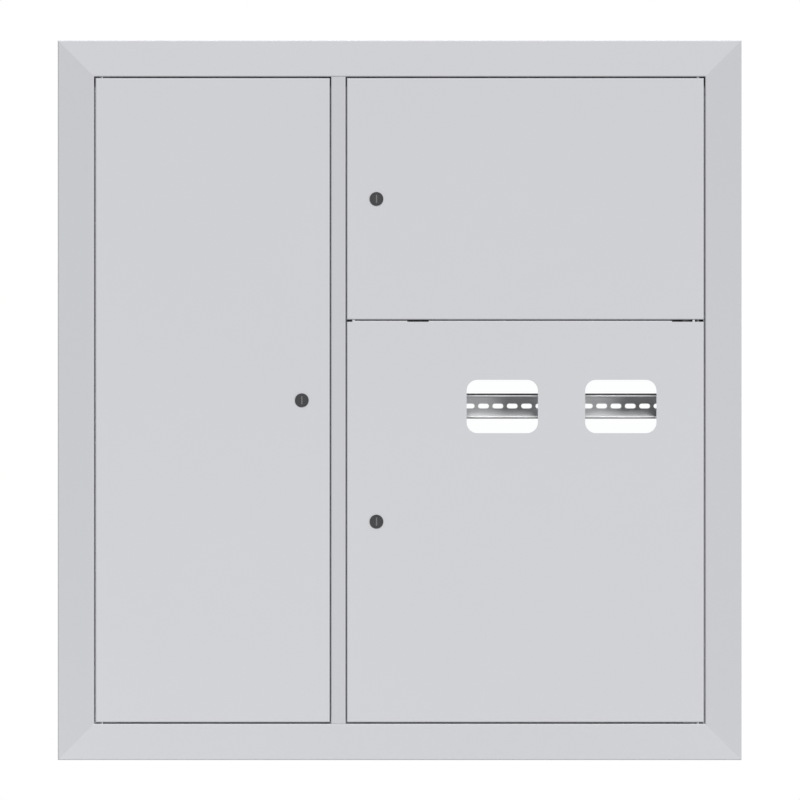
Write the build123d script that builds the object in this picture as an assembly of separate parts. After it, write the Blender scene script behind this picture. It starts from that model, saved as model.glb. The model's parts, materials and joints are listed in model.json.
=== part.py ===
from build123d import *
import os

# Floor distribution board for a wall niche, in folded steel sheet. All sizes are in millimetres.
# X runs right, Y runs back into the wall and Z runs up.
# The origin is the middle of the trim frame, in the plane of the wall.

# Overall
overall_width = 950.0
overall_height = 1000.0
trim_depth = 15.0  # from the wall to the plane of the doors
box_depth = 125.0  # from the wall to the back of the box
sheet = 1.2  # steel sheet of every folded piece
bend = 0.6  # inside radius of a fold

# Trim frame and stops
trim_face = 50.5  # width of a bar
trim_fall = 4.0  # how far a bar's face slopes back towards its outer edge
brim = 9.0  # width of the stop round each doorway
mullion_face = 20.3
mullion_x = -85.2
transom_height = 30.0
transom_leg = 14.0

# Doors
door_gap = 2.0  # from a door to the trim
mullion_gap = 1.7  # from a door to the mullion
seam = 1.5  # between the two right doors
seam_z = 111.2
door_depth = 18.0  # a door's flanges, from its face back
stop_gap = 5.0  # from the flanges to the stop, room for the seal and the hinge edge's swing
earth_stud_radius = 3.0  # weld stud for the earth lead, inside each door
earth_stud_length = 13.0
earth_stud_edge = 0.6
earth_stud_inset = 32.0  # from the pin axis
earth_stud_rise = 60.0  # from the door's lower edge

# Notches in the top edge of the lower door, which the seam shows
notch_depth = 1.5
free_notch = 7.75  # width at the free edge
wire_notch = 29.8  # width of the notch along the edge
wire_notch_start = 83.95  # from the free edge
hinge_notch = 44.1  # width at the hinge edge, room for the lug
tab_width = 3.4  # tongues that stand up beside the notch at the free edge and in front of the lug
hinge_tab = 15.7  # from the hinge edge to the far side of the tongue there
tab_gap = 0.25  # from a tongue to the upper door

# Windows of the lower door, measured from its hinge edge and its top edge
window_width = 99.0
window_height = 74.0
window_corner = 15.0
window_end = 115.2  # to the middle of the window nearer the hinges
window_pitch = 164.7
window_drop = 119.2
pane_lap = 9.0  # pane behind the door's face, past each edge of the window
pane_thickness = 2.0
pane_play = 0.15
strip_foot = 8.0
strip_lip = 6.0

# Hinges
pivot_setback = 8.5  # pin axis from the hinge edge
pivot_depth = 6.0  # pin axis behind the door's face
pin_radius = 2.0
pin_fit = 0.05  # radial clearance of a pin in its bore
pin_head_radius = 3.5
pin_head = 2.0
pin_tail = 2.0  # end of a pin past the pivot plate
collar_radius = 3.2
seam_collar_radius = 2.7
pivot_play = 0.2  # along the axis, between a collar and the door
plate_length = 24.0
plate_width = 15.0
plate_thickness = 2.0
plate_inset = 1.0  # from the door's face, clear of the fold
lug_half = 8.0  # foot of the lug, to each side of the pin
lug_foot = 12.0
lug_tip = 3.6  # radius of the lug round the pin

# Door seals
seal_width = 6.0
seal_inset = 1.0  # from the sides of the doorway
seal_split = 0.6  # between the seals of the two right doors
seal_play = 0.3
seal_round = 1.5
seal_hinge_room = 20.0  # from the pin axis to the end of the seal

# Cam locks
lock_inset_left = 38.75  # left door, from the free edge
lock_inset_right = 41.25  # right doors, from the free edge
lock_flange_radius = 9.5
lock_flange = 2.0
lock_edge = 0.5  # bevel round the flange
barrel_radius = 8.0
barrel_flat = 15.0  # width across the two flats
barrel_fit = 0.1  # barrel in the door
counterbore_radius = 7.35
counterbore_depth = 1.4
plug_radius = 6.5
plug_head = 1.2
plug_recess = 0.1  # plug face behind the flange's face
key_slot_length = 12.0
key_slot_width = 1.8
key_slot_depth = 6.0
nut_width = 22.0
nut_thickness = 5.0
nut_bevel = 1.4
nut_bevel_run = 2.5  # from the flats out, past the corners
cam_play = 0.4  # between the stop and the cam
cam_thickness = 2.5
cam_reach = 42.0
cam_width = 14.0
cam_hub_radius = 9.0
cam_tip_round = 3.0
cam_square = 8.0
cam_fit = 0.05

# Screws, as used for the rails, the cover, the bars and the plate
screw_radius = 2.5
screw_fit = 0.05
screw_head_radius = 4.5
screw_head = 3.0
screw_edge = 0.8
screw_tail = 4.0  # end of a screw past the sheet that it holds in

# Box
wall_front = 2.0  # front edge of the walls behind the plane of the wall
back_flange = 20.0
fixing_hole_radius = 4.5
fixing_hole_y = 62.5
fixing_spacing_y = 55.0
fixing_spacing_z = 700.0
entry_width = 200.0  # cable entries in the top, the bottom and the shelf
entry_depth = 34.0
entry_corner = 8.0
entry_y = 42.0
shelf_entry_width = 120.0
pass_length = 80.0  # cable passes in the partition
pass_width = 30.0
pass_y = 60.0
pass_spacing = 560.0

# Rails, 35 mm top hat, and the uprights that carry them
rail_height = 35.0
rail_depth = 7.5
rail_wall = 1.0
rail_channel = 25.0
slot_length = 15.0
slot_width = 6.6
slot_pitch = 20.0
upright_face = 26.0
upright_leg = 20.0
foot_hole = 12.0  # screw of a foot, behind the upright's front
meter_slots = 8
meter_upright_y = 62.0
meter_rail_shift = 4.4  # from the middle of a window
meter_rail_rise = 0.6
breaker_slots = 19
breaker_rail_upper_z = 85.0  # below the top of the box
breaker_rail_pitch = 100.0

# Breaker cover
cover_setback = 14.0  # behind the door stop
cover_depth = 12.0
cover_side_room = 24.0  # to the partition and to the right wall
cover_end_room = 15.0  # to the transom and to the top
cover_slot_width = 330.0
cover_slot_height = 46.0
cover_slot_corner = 2.0
device_reach = 45.0  # from a rail's front to the cover
post_radius = 5.0
post_inset = 14.0  # from the cover's upper and lower edges
post_bore_depth = 12.0

# Neutral and earth bars
bar_length = 76.0
bar_width = 12.0
bar_thickness = 10.0
bar_gap = 5.0  # from the lower cover post to the end of the bar
bar_fixing_pitch = 64.0
terminal_count = 5
terminal_pitch = 11.0
terminal_radius = 2.0
terminal_depth = 3.5
terminal_head_radius = 3.2
terminal_head = 2.2
wire_hole_radius = 2.2
wire_hole_depth = 6.5  # from the bar's front to the middle of a wire hole
insulator_radius = 7.0
insulator_waist = 5.5
insulator_height = 14.0

# Mounting plate of the low-current bay
tray_edge_room = 6.0
tray_hole_inset = 8.0
tray_slot_length = 40.0
tray_slot_width = 8.0
tray_slot_rows = 5
tray_slot_row_pitch = 140.0
tray_slot_column_pitch = 160.0

right = Vector(1, 0, 0)
back = Vector(0, 1, 0)
up = Vector(0, 0, 1)

# Planes and edges that several pieces share
front_y = -trim_depth
door_back_y = front_y + door_depth
stop_y = door_back_y + stop_gap
behind_stop_y = stop_y + sheet
back_flange_y = box_depth - sheet
inner_back_y = back_flange_y - bend
aperture_x = overall_width / 2 - trim_face
aperture_z = overall_height / 2 - trim_face
inner_x = aperture_x + sheet
inner_z = aperture_z + sheet
mullion_left = mullion_x - mullion_face / 2
mullion_right = mullion_x + mullion_face / 2
partition_left = mullion_x - sheet / 2
partition_right = mullion_x + sheet / 2
shelf_bottom = seam_z - sheet / 2
shelf_top = seam_z + sheet / 2
transom_top = seam_z + transom_height / 2

# Doorways: the doors' edges
left_free_x = mullion_left - mullion_gap
left_hinge_x = -aperture_x + door_gap
right_free_x = mullion_right + mullion_gap
right_hinge_x = aperture_x - door_gap
door_top_z = aperture_z - door_gap
door_bottom_z = -aperture_z + door_gap
upper_bottom_z = seam_z + seam / 2
lower_top_z = seam_z - seam / 2
notch_bottom_z = lower_top_z - notch_depth

# Hinge axes
left_pivot_x = left_hinge_x + pivot_setback
right_pivot_x = right_hinge_x - pivot_setback
pivot_y = front_y + pivot_depth
pin_bore = pin_radius + pin_fit

# Rails, uprights and cover
screw_bore = screw_radius + screw_fit
window_z = lower_top_z - window_drop
window_xs = [right_hinge_x - window_end - window_pitch, right_hinge_x - window_end]
meter_rail_z = window_z + meter_rail_rise
meter_rail_xs = [x + meter_rail_shift for x in window_xs]
right_bay_x = (partition_right + inner_x) / 2
left_bay_x = (partition_left - inner_x) / 2
cover_front_y = stop_y + cover_setback
breaker_upright_y = cover_front_y + sheet + device_reach + rail_depth
breaker_rail_zs = [inner_z - breaker_rail_upper_z, inner_z - breaker_rail_upper_z - breaker_rail_pitch]
cover_bottom_z = transom_top + cover_end_room
cover_top_z = inner_z - cover_end_room
post_zs = [cover_bottom_z + post_inset, cover_top_z - post_inset]
bar_z = post_zs[0] + post_radius + bar_gap + bar_length / 2
bar_fixing_zs = [bar_z - bar_fixing_pitch / 2, bar_z + bar_fixing_pitch / 2]
bar_back_y = breaker_upright_y - insulator_height
bar_front_y = bar_back_y - bar_thickness


def end_slot(slots):
    """Distance from the middle of a rail to its last slot."""
    return (slots - 1) / 2 * slot_pitch


breaker_upright_xs = [right_bay_x - end_slot(breaker_slots), right_bay_x + end_slot(breaker_slots)]
meter_screw_xs = [x + side * end_slot(meter_slots) for x in meter_rail_xs for side in (-1, 1)]
meter_upright_xs = [meter_screw_xs[0], (meter_screw_xs[1] + meter_screw_xs[2]) / 2, meter_screw_xs[3]]


def folded_section(*corners, wall=sheet):
    """Section of a folded sheet. The wall lies to the left of the corners' path, and each fold is round."""
    path = [Vector(*corner) for corner in corners]
    runs = [(end - start).normalized() for start, end in zip(path, path[1:])]
    lefts = [Vector(-run.Y, run.X) for run in runs]
    far = [path[0] + lefts[0] * wall]
    near_radii = []
    far_radii = []
    for corner, before, after in zip(path[1:-1], lefts, lefts[1:]):
        far.append(corner + (before + after) * (wall / (1 + before.dot(after))))
        turns_left = before.cross(after).Z > 0
        near_radii.append(bend + wall if turns_left else bend)
        far_radii.append(bend if turns_left else bend + wall)
    far.append(path[-1] + lefts[-1] * wall)
    near_side = FilletPolyline(*path, radius=near_radii)
    far_side = FilletPolyline(*far, radius=far_radii)
    ends = [Line(path[0], far[0]), Line(path[-1], far[-1])]
    return make_face([*near_side.edges(), *far_side.edges(), *ends])


def channel_section(width, front, leg):
    """Channel that opens to the back, with its web at front."""
    return folded_section(
        (-width / 2, front + leg), (-width / 2, front), (width / 2, front), (width / 2, front + leg)
    )


def section_plane(origin, outward):
    """Plane across a folded piece: its x runs outward and its y runs back into the wall."""
    return Plane(origin=origin, x_dir=outward, z_dir=outward.cross(back))


def mitred_bar(section, outward):
    """Bar on one side of the frame, cut at 45 degrees where it meets its neighbours."""
    reach = aperture_x if outward.X else aperture_z
    run = aperture_z if outward.X else aperture_x
    plane = section_plane(outward * reach, outward)
    bar = extrude(plane * section, run + trim_face, both=True)
    for along in (plane.z_dir, -plane.z_dir):
        corner = outward * reach + along * run
        bar = split(bar, bisect_by=Plane(origin=corner, z_dir=outward - along))
    return bar


def from_front(sketch, start, length):
    """Solid from a sketch drawn as the front shows it, x right and y up, running back from y = start."""
    return extrude(Plane((0, start, 0), x_dir=right, z_dir=-back) * sketch, length, dir=back)


def from_below(sketch, start, length):
    """Solid from a plan, running up from z = start."""
    return extrude(Plane((0, 0, start)) * sketch, length)


def block(x0, x1, y0, y1, z0, z1):
    """Block between two corners."""
    middle = Pos((x0 + x1) / 2, (y0 + y1) / 2, (z0 + z1) / 2)
    return middle * Box(x1 - x0, y1 - y0, z1 - z0)


def turned_up(*profile):
    """Piece turned about the Z axis, from points of radius and height."""
    return revolve(Plane.XZ * make_face(Polyline(*profile, close=True)), axis=Axis.Z)


def turned_back(*profile):
    """Piece turned about the Y axis, from points of radius and depth."""
    return revolve(make_face(Polyline(*profile, close=True)), axis=Axis.Y)


def pan(x0, x1, z0, z1, front, depth):
    """Folded pan: a face and four flanges turned back, welded at the corners."""
    outer = block(x0, x1, front, front + depth, z0, z1)
    hollow = block(x0 + sheet, x1 - sheet, front + sheet, front + depth + sheet, z0 + sheet, z1 - sheet)
    outer = fillet(outer.faces().sort_by(Axis.Y)[0].edges(), bend + sheet)
    hollow = fillet(hollow.faces().sort_by(Axis.Y)[0].edges(), bend)
    return outer - hollow


def group(solids):
    """Separate solids that make one named piece."""
    return Part() + list(solids)


def pattern(places, shape):
    """One sketch of a shape repeated at each place."""
    return Sketch() + [place * shape for place in places]


def trim_bar(outward):
    """Trim bar: outer lip, sloping face, jamb and stop brim, folded from one strip."""
    section = folded_section(
        (-brim, stop_y),
        (0, stop_y),
        (0, front_y),
        (trim_face, front_y + trim_fall),
        (trim_face, 0),
    )
    bar = mitred_bar(section, outward)
    if not outward.Z:
        return bar
    for pivot_x in (left_pivot_x, right_pivot_x):
        start = min(outward.Z * aperture_z, outward.Z * inner_z)
        bar -= from_below(Pos(pivot_x, pivot_y) * Circle(pin_bore), start - sheet, 3 * sheet)
    return bar


def box_wall(outward):
    """Wall of the box, with its back flange turned in."""
    section = folded_section(
        (sheet - back_flange, back_flange_y), (sheet, back_flange_y), (sheet, wall_front)
    )
    return mitred_bar(section, outward)


def side_wall(outward):
    """Side wall with the four holes that fix the box in its niche."""
    places = GridLocations(fixing_spacing_y, fixing_spacing_z, 2, 2)
    holes = Plane.YZ * Pos(fixing_hole_y, 0) * pattern(places, Circle(fixing_hole_radius))
    wall = box_wall(outward) - extrude(holes, 2 * inner_x * outward.X)
    if outward.X < 0:
        wall -= tray_screw_holes()
    return wall


def foot_bore(x, front):
    """Plan of the screw hole in an upright's foot."""
    return Pos(x, front + foot_hole) * Circle(screw_bore)


def meter_feet():
    """Plan of the holes under the feet of the meter uprights."""
    return Sketch() + [foot_bore(x, meter_upright_y) for x in meter_upright_xs]


def breaker_feet():
    """Plan of the holes under the feet of the breaker uprights."""
    return Sketch() + [foot_bore(x, breaker_upright_y) for x in breaker_upright_xs]


def cable_entry(x, width):
    """Plan of a cable entry."""
    return Pos(x, entry_y) * RectangleRounded(width, entry_depth, entry_corner)


def end_wall(outward, feet):
    """Top or bottom wall with a cable entry into each bay and the holes for the uprights' feet."""
    cuts = cable_entry(left_bay_x, entry_width) + cable_entry(right_bay_x, entry_width) + feet
    start = min(outward.Z * inner_z, outward.Z * (inner_z + sheet))
    wall = box_wall(outward) - from_below(cuts, start - sheet, 3 * sheet)
    return wall - tray_screw_holes()


def mullion():
    """Hat section between the doorways, its ends notched over the brims of the trim."""
    half = mullion_face / 2
    section = folded_section(
        (-half - brim, stop_y),
        (-half, stop_y),
        (-half, front_y),
        (half, front_y),
        (half, stop_y),
        (half + brim, stop_y),
    )
    plane = section_plane((mullion_x, 0, -aperture_z), right)
    bar = extrude(plane * section, 2 * aperture_z)
    reach = half + 2 * brim
    for z0, z1 in ((-aperture_z, brim - aperture_z), (aperture_z - brim, aperture_z)):
        bar -= block(mullion_x - reach, mullion_x + reach, stop_y - bend, stop_y + 2 * sheet, z0, z1)
    return bar


def transom():
    """Channel behind the seam of the right doors, from the mullion's brim to the trim's brim."""
    start = mullion_right + brim
    end = aperture_x - brim
    plane = section_plane((end, 0, seam_z), up)
    return extrude(plane * channel_section(transom_height, stop_y, transom_leg), end - start)


def partition():
    """Sheet behind the mullion, its front edge inside the hat, with two cable passes."""
    tongue_z = aperture_z - brim
    behind = block(partition_left, partition_right, behind_stop_y, inner_back_y, -inner_z, inner_z)
    tongue = block(partition_left, partition_right, front_y + sheet, behind_stop_y, -tongue_z, tongue_z)
    wall = behind + tongue
    opening = SlotOverall(pass_length, pass_width, rotation=90)
    passes = Plane.YZ * Pos(pass_y, 0) * pattern(GridLocations(0, pass_spacing, 1, 2), opening)
    return wall - Pos(mullion_x, 0, 0) * extrude(passes, 2 * sheet, both=True)


def shelf():
    """Sheet between the breaker bay and the meter bay, with a cable entry and the feet's holes."""
    panel = block(partition_right, inner_x, behind_stop_y, inner_back_y, shelf_bottom, shelf_top)
    cuts = cable_entry(right_bay_x, shelf_entry_width) + meter_feet() + breaker_feet()
    return panel - from_below(cuts, shelf_bottom - sheet, 3 * sheet)


def lock_hole(x, z):
    """Double-D hole for a lock's barrel."""
    hole = Circle(barrel_radius + barrel_fit) & Rectangle(barrel_flat + 2 * barrel_fit, 3 * barrel_radius)
    return from_front(Pos(x, z) * hole, front_y - sheet, 3 * sheet)


def pivot_hole(x, z):
    """Hole through the upper or lower flange of a door."""
    return from_below(Pos(x, pivot_y) * Circle(pin_bore), z - 2 * sheet, 4 * sheet)


def earth_stud():
    """Weld stud along Y, its foot in the sheet that carries it."""
    return turned_back(
        (0, -sheet / 2),
        (earth_stud_radius, -sheet / 2),
        (earth_stud_radius, earth_stud_length - earth_stud_edge),
        (earth_stud_radius - earth_stud_edge, earth_stud_length),
        (0, earth_stud_length),
    )


def hinged_door(free_x, hinge_x, pivot_x, bottom_z, top_z, lock_x):
    """Door pan with its earth stud, the hole for its lock and the holes for its pivot pins."""
    door = pan(min(free_x, hinge_x), max(free_x, hinge_x), bottom_z, top_z, front_y, door_depth)
    towards_free = 1 if free_x > pivot_x else -1
    stud_x = pivot_x + towards_free * earth_stud_inset
    door += Pos(stud_x, front_y + sheet, bottom_z + earth_stud_rise) * earth_stud()
    door -= lock_hole(lock_x, (bottom_z + top_z) / 2)
    return door - [pivot_hole(pivot_x, bottom_z), pivot_hole(pivot_x, top_z)]


def lower_door():
    """Door of the meter bay, with two windows, and the notches and the tongues in its top edge."""
    door = hinged_door(
        right_free_x, right_hinge_x, right_pivot_x, door_bottom_z, lower_top_z, right_lock_x
    )
    window = RectangleRounded(window_width, window_height, window_corner)
    for x in window_xs:
        door -= from_front(Pos(x, window_z) * window, front_y - sheet, 3 * sheet)
    wire_start = right_free_x + wire_notch_start
    notches = (
        (right_free_x - sheet, right_free_x + free_notch),
        (wire_start, wire_start + wire_notch),
        (right_hinge_x - hinge_notch, right_hinge_x + sheet),
    )
    for start, end in notches:
        door -= block(
            start, end, front_y - sheet, door_back_y + sheet, notch_bottom_z, lower_top_z + sheet
        )
    tab_root = lower_top_z - sheet - bend
    tab_tip = upper_bottom_z - tab_gap
    for tab_x in (right_free_x + free_notch, right_hinge_x - hinge_tab):
        door += block(tab_x, tab_x + tab_width, front_y, front_y + sheet, tab_root, tab_tip)
    return door


def pivot_plate(hinge_x, pivot_x, seat_z, inward):
    """Plate inside a door's corner that carries the pin, on the flange at seat_z."""
    towards_free = 1 if pivot_x > hinge_x else -1
    near_x = hinge_x + towards_free * sheet
    far_x = near_x + towards_free * plate_length
    start_y = front_y + sheet + plate_inset
    far_z = seat_z + inward * plate_thickness
    plate = block(
        min(near_x, far_x),
        max(near_x, far_x),
        start_y,
        start_y + plate_width,
        min(seat_z, far_z),
        max(seat_z, far_z),
    )
    bore = Pos(pivot_x, pivot_y) * Circle(pin_bore)
    return plate - from_below(bore, seat_z - 2 * plate_thickness, 4 * plate_thickness)


def trim_pin():
    """Pin riveted through the jamb of the trim, with a collar that keeps the door's gap."""
    collar = door_gap - pivot_play
    tip = door_gap + sheet + plate_thickness + pin_tail
    return turned_up(
        (0, sheet + pin_head),
        (pin_head_radius, sheet + pin_head),
        (pin_head_radius, sheet),
        (pin_radius, sheet),
        (pin_radius, 0),
        (collar_radius, 0),
        (collar_radius, -collar),
        (pin_radius, -collar),
        (pin_radius, -tip),
        (0, -tip),
    )


def seam_pin():
    """Pin riveted through the hinge lug, for the lower end of one door and the upper end of the other."""
    half_lug = sheet / 2
    collar = half_lug + lug_clearance - pivot_play
    top = upper_bottom_z + sheet + plate_thickness + pin_tail - lug_z
    bottom = notch_bottom_z - plate_thickness - pin_tail - lug_z
    pin = turned_up(
        (0, bottom),
        (pin_radius, bottom),
        (pin_radius, -collar),
        (seam_collar_radius, -collar),
        (seam_collar_radius, -half_lug),
        (pin_radius, -half_lug),
        (pin_radius, half_lug),
        (seam_collar_radius, half_lug),
        (seam_collar_radius, collar),
        (pin_radius, collar),
        (pin_radius, top),
        (0, top),
    )
    return Pos(right_pivot_x, pivot_y, lug_z) * pin


def hinge_pins():
    """All pivot pins: two on the left, two on the right and one in the seam."""
    pins = [seam_pin()]
    for pivot_x in (left_pivot_x, right_pivot_x):
        upper_pin = Pos(pivot_x, pivot_y, aperture_z) * trim_pin()
        pins += [upper_pin, mirror(upper_pin, Plane.XY)]
    return group(pins)


def hinge_lug():
    """Folded lug on the transom that tapers to the pin between the right doors."""
    bottom = lug_z - sheet / 2
    section = folded_section((bottom + lug_foot, stop_y), (bottom, stop_y), (bottom, pivot_y - lug_tip))
    plane = section_plane((right_pivot_x, 0, 0), up)
    lug = extrude(plane * section, lug_half, both=True)
    fold = sheet + bend
    tip = Pos(right_pivot_x, pivot_y) * Circle(lug_tip)
    foot = Pos(right_pivot_x, stop_y - fold / 2) * Rectangle(2 * lug_half, fold)
    outline = make_hull([*tip.edges(), *foot.edges()])
    lug &= from_below(outline, bottom - sheet, lug_foot + 2 * sheet)
    return lug - from_below(Pos(right_pivot_x, pivot_y) * Circle(pin_bore), bottom - sheet, 3 * sheet)


def door_seal(free_x, pivot_x, bottom_z, top_z):
    """Foam strip on the stop along the free edge, the top and the bottom of a doorway."""
    towards_hinge = 1 if pivot_x > free_x else -1
    end_x = pivot_x - towards_hinge * seal_hinge_room
    inner_edge_x = free_x + towards_hinge * seal_width
    front = door_back_y + seal_play
    outer = block(min(free_x, end_x), max(free_x, end_x), front, stop_y, bottom_z, top_z)
    past_end_x = end_x + towards_hinge * seal_width
    hollow = block(
        min(inner_edge_x, past_end_x),
        max(inner_edge_x, past_end_x),
        front - seal_width,
        stop_y + seal_width,
        bottom_z + seal_width,
        top_z - seal_width,
    )
    strip = outer - hollow
    return fillet(strip.faces().sort_by(Axis.Y)[0].edges(), seal_round)


def lock_barrel():
    """Lock housing: bevelled flange, barrel with two flats, bore and counterbore for the plug."""
    face = -lock_flange
    bore = plug_radius + pin_fit
    barrel = turned_back(
        (bore, barrel_end),
        (bore, face + counterbore_depth),
        (counterbore_radius, face + counterbore_depth),
        (counterbore_radius, face),
        (lock_flange_radius - lock_edge, face),
        (lock_flange_radius, face + lock_edge),
        (lock_flange_radius, 0),
        (barrel_radius, 0),
        (barrel_radius, barrel_end),
    )
    flat = barrel_flat / 2
    for side in (-1, 1):
        middle = side * (flat + barrel_radius / 2)
        barrel -= Pos(middle, barrel_end / 2, 0) * Box(barrel_radius, barrel_end, 3 * barrel_radius)
    return barrel


def lock_nut():
    """Hexagon nut with bevelled corners, which clamps the barrel to the door's face."""
    hexagon = RegularPolygon(nut_width / 2, 6, major_radius=False)
    bore = barrel_radius + pin_fit
    rim = nut_width / 2 + nut_bevel_run
    far = sheet + nut_thickness
    turned = turned_back(
        (bore, sheet),
        (nut_width / 2, sheet),
        (rim, sheet + nut_bevel),
        (rim, far - nut_bevel),
        (nut_width / 2, far),
        (bore, far),
    )
    return turned & from_front(hexagon, sheet, nut_thickness)


def lock_plug():
    """Turning plug: head with the key slot, body, and the square that carries the cam."""
    face = plug_recess - lock_flange
    shoulder = face + plug_head
    square = cam_thickness - plug_recess
    plug = turned_back(
        (0, face),
        (counterbore_radius - pin_fit, face),
        (counterbore_radius - pin_fit, shoulder),
        (plug_radius, shoulder),
        (plug_radius, cam_front),
        (0, cam_front),
    )
    plug += from_front(Rectangle(cam_square, cam_square), cam_front, square)
    plug -= from_front(Rectangle(key_slot_width, key_slot_length), face, key_slot_depth)
    return plug - from_front(Circle(screw_bore), cam_front + square - post_bore_depth, post_bore_depth)


def lock_cam():
    """Flat cam, hanging down when unlocked."""
    arm = Pos(0, -cam_reach / 2) * Rectangle(cam_width, cam_reach)
    arm = fillet(arm.vertices().sort_by(Axis.Y)[:2], cam_tip_round)
    hole = cam_square + 2 * cam_fit
    return from_front(Circle(cam_hub_radius) + arm - Rectangle(hole, hole), cam_front, cam_thickness)


def pan_screw(length):
    """Screw along Y with its seat at the origin: bevelled head in front, shank behind."""
    return turned_back(
        (0, -screw_head),
        (screw_head_radius - screw_edge, -screw_head),
        (screw_head_radius, screw_edge - screw_head),
        (screw_head_radius, 0),
        (screw_radius, 0),
        (screw_radius, length),
        (0, length),
    )


def cam_screw():
    """Screw that holds the cam on the plug, its head behind the cam."""
    screw = Rot(0, 0, 180) * pan_screw(post_bore_depth - screw_tail)
    return Pos(0, cam_front + cam_thickness, 0) * screw


def window_pane(x):
    """Clear pane behind a window."""
    half_x = window_width / 2 + pane_lap
    half_z = window_height / 2 + pane_lap
    seat = front_y + sheet
    return block(x - half_x, x + half_x, seat, seat + pane_thickness, window_z - half_z, window_z + half_z)


def pane_strips():
    """Folded strips above and below each pane: the foot is on the door, the lip behind the pane."""
    lip_y = pane_thickness + pane_play
    riser = bend + pane_play
    section = folded_section(
        (riser - strip_lip, lip_y), (riser, lip_y), (riser, 0), (riser + strip_foot, 0)
    )
    strips = []
    for x in window_xs:
        for outward in (up, -up):
            edge_z = window_z + outward.Z * (window_height / 2 + pane_lap)
            plane = section_plane((x, front_y + sheet, edge_z), outward)
            strips.append(extrude(plane * section, window_width / 2 + pane_lap, both=True))
    return group(strips)


def top_hat_rail(x, z, seat_y, slots):
    """Slotted top-hat rail, open to the front, with its web on seat_y."""
    front = seat_y - rail_depth
    floor_y = seat_y - rail_wall
    section = folded_section(
        (-rail_height / 2, front),
        (-rail_channel / 2, front),
        (-rail_channel / 2, floor_y),
        (rail_channel / 2, floor_y),
        (rail_channel / 2, front),
        (rail_height / 2, front),
        wall=rail_wall,
    )
    rail = extrude(section_plane((x, 0, z), up) * section, slots * slot_pitch / 2, both=True)
    openings = pattern(GridLocations(slot_pitch, 0, slots, 1), SlotOverall(slot_length, slot_width))
    return rail - from_front(Pos(x, z) * openings, floor_y - rail_wall, 3 * rail_wall)


def upright(x, width, front, bottom_z, top_z, holes):
    """Channel between two sheets, with a foot at each end and a hole for each screw, stud or post."""
    plane = section_plane((x, 0, bottom_z), right)
    bar = extrude(plane * channel_section(width, front, upright_leg), top_z - bottom_z)
    reach = width / 2 - sheet / 2
    foot_front = front + sheet / 2
    for low in (bottom_z, top_z - sheet):
        bar += block(x - reach, x + reach, foot_front, front + upright_leg, low, low + sheet)
    bar -= from_below(foot_bore(x, front), bottom_z - sheet, top_z - bottom_z + 2 * sheet)
    bores = Sketch() + [Pos(hole_x, hole_z) * Circle(screw_bore) for hole_x, hole_z in holes]
    return bar - from_front(bores, front - sheet, 3 * sheet)


def meter_upright(screw_xs):
    """Upright of the meter bay, as wide as the rail ends that it carries."""
    x = (screw_xs[0] + screw_xs[-1]) / 2
    width = screw_xs[-1] - screw_xs[0] + upright_face
    holes = [(screw_x, meter_rail_z) for screw_x in screw_xs]
    return upright(x, width, meter_upright_y, -inner_z, shelf_bottom, holes)


def breaker_upright(x):
    """Upright of the breaker bay, for both rails, one bar and two cover posts."""
    holes = [(x, z) for z in [*breaker_rail_zs, *post_zs, *bar_fixing_zs]]
    return upright(x, upright_face, breaker_upright_y, shelf_top, inner_z, holes)


def cover_panel():
    """Folded cover of the breaker bay, with a slot in front of each rail."""
    x0 = partition_right + cover_side_room
    x1 = inner_x - cover_side_room
    cover = pan(x0, x1, cover_bottom_z, cover_top_z, cover_front_y, cover_depth)
    cuts = Sketch() + [
        Pos(right_bay_x, z) * RectangleRounded(cover_slot_width, cover_slot_height, cover_slot_corner)
        for z in breaker_rail_zs
    ]
    cuts += [Pos(x, z) * Circle(screw_bore) for x in breaker_upright_xs for z in post_zs]
    return cover - from_front(cuts, cover_front_y - sheet, 3 * sheet)


def cover_post():
    """Post from the upright to the cover, with a stud behind and a threaded bore in front."""
    length = breaker_upright_y - cover_front_y - sheet
    stud = sheet + screw_tail
    return turned_back(
        (0, post_bore_depth),
        (screw_bore, post_bore_depth),
        (screw_bore, 0),
        (post_radius, 0),
        (post_radius, length),
        (screw_radius, length),
        (screw_radius, length + stud),
        (0, length + stud),
    )


def terminal_zs():
    """Heights of the terminals along a bar."""
    return [bar_z + (index - (terminal_count - 1) / 2) * terminal_pitch for index in range(terminal_count)]


def terminal_bar(x):
    """Bar with a wire hole and a screw hole for each terminal, and two fixing holes."""
    half_x = bar_width / 2
    half_z = bar_length / 2
    bar = block(x - half_x, x + half_x, bar_front_y, bar_back_y, bar_z - half_z, bar_z + half_z)
    wire_y = bar_front_y + wire_hole_depth
    wires = Sketch() + [Pos(wire_y, z) * Circle(wire_hole_radius) for z in terminal_zs()]
    bar -= Pos(x, 0, 0) * extrude(Plane.YZ * wires, bar_width, both=True)
    screws = [Pos(x, z) * Circle(terminal_radius + screw_fit) for z in terminal_zs()]
    bar -= from_front(Sketch() + screws, bar_front_y, terminal_depth)
    fixings = [Pos(x, z) * Circle(screw_bore) for z in bar_fixing_zs]
    return bar - from_front(Sketch() + fixings, bar_front_y, bar_thickness)


def insulator():
    """Waisted insulator behind a bar, with a hole for its screw."""
    return turned_back(
        (screw_bore, 0),
        (insulator_radius, 0),
        (insulator_waist, insulator_height / 3),
        (insulator_waist, insulator_height * 2 / 3),
        (insulator_radius, insulator_height),
        (screw_bore, insulator_height),
    )


def terminal_screw():
    """Small screw of a terminal, with its seat at the origin."""
    return turned_back(
        (0, -terminal_head),
        (terminal_head_radius, -terminal_head),
        (terminal_head_radius, 0),
        (terminal_radius, 0),
        (terminal_radius, terminal_depth),
        (0, terminal_depth),
    )


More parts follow.
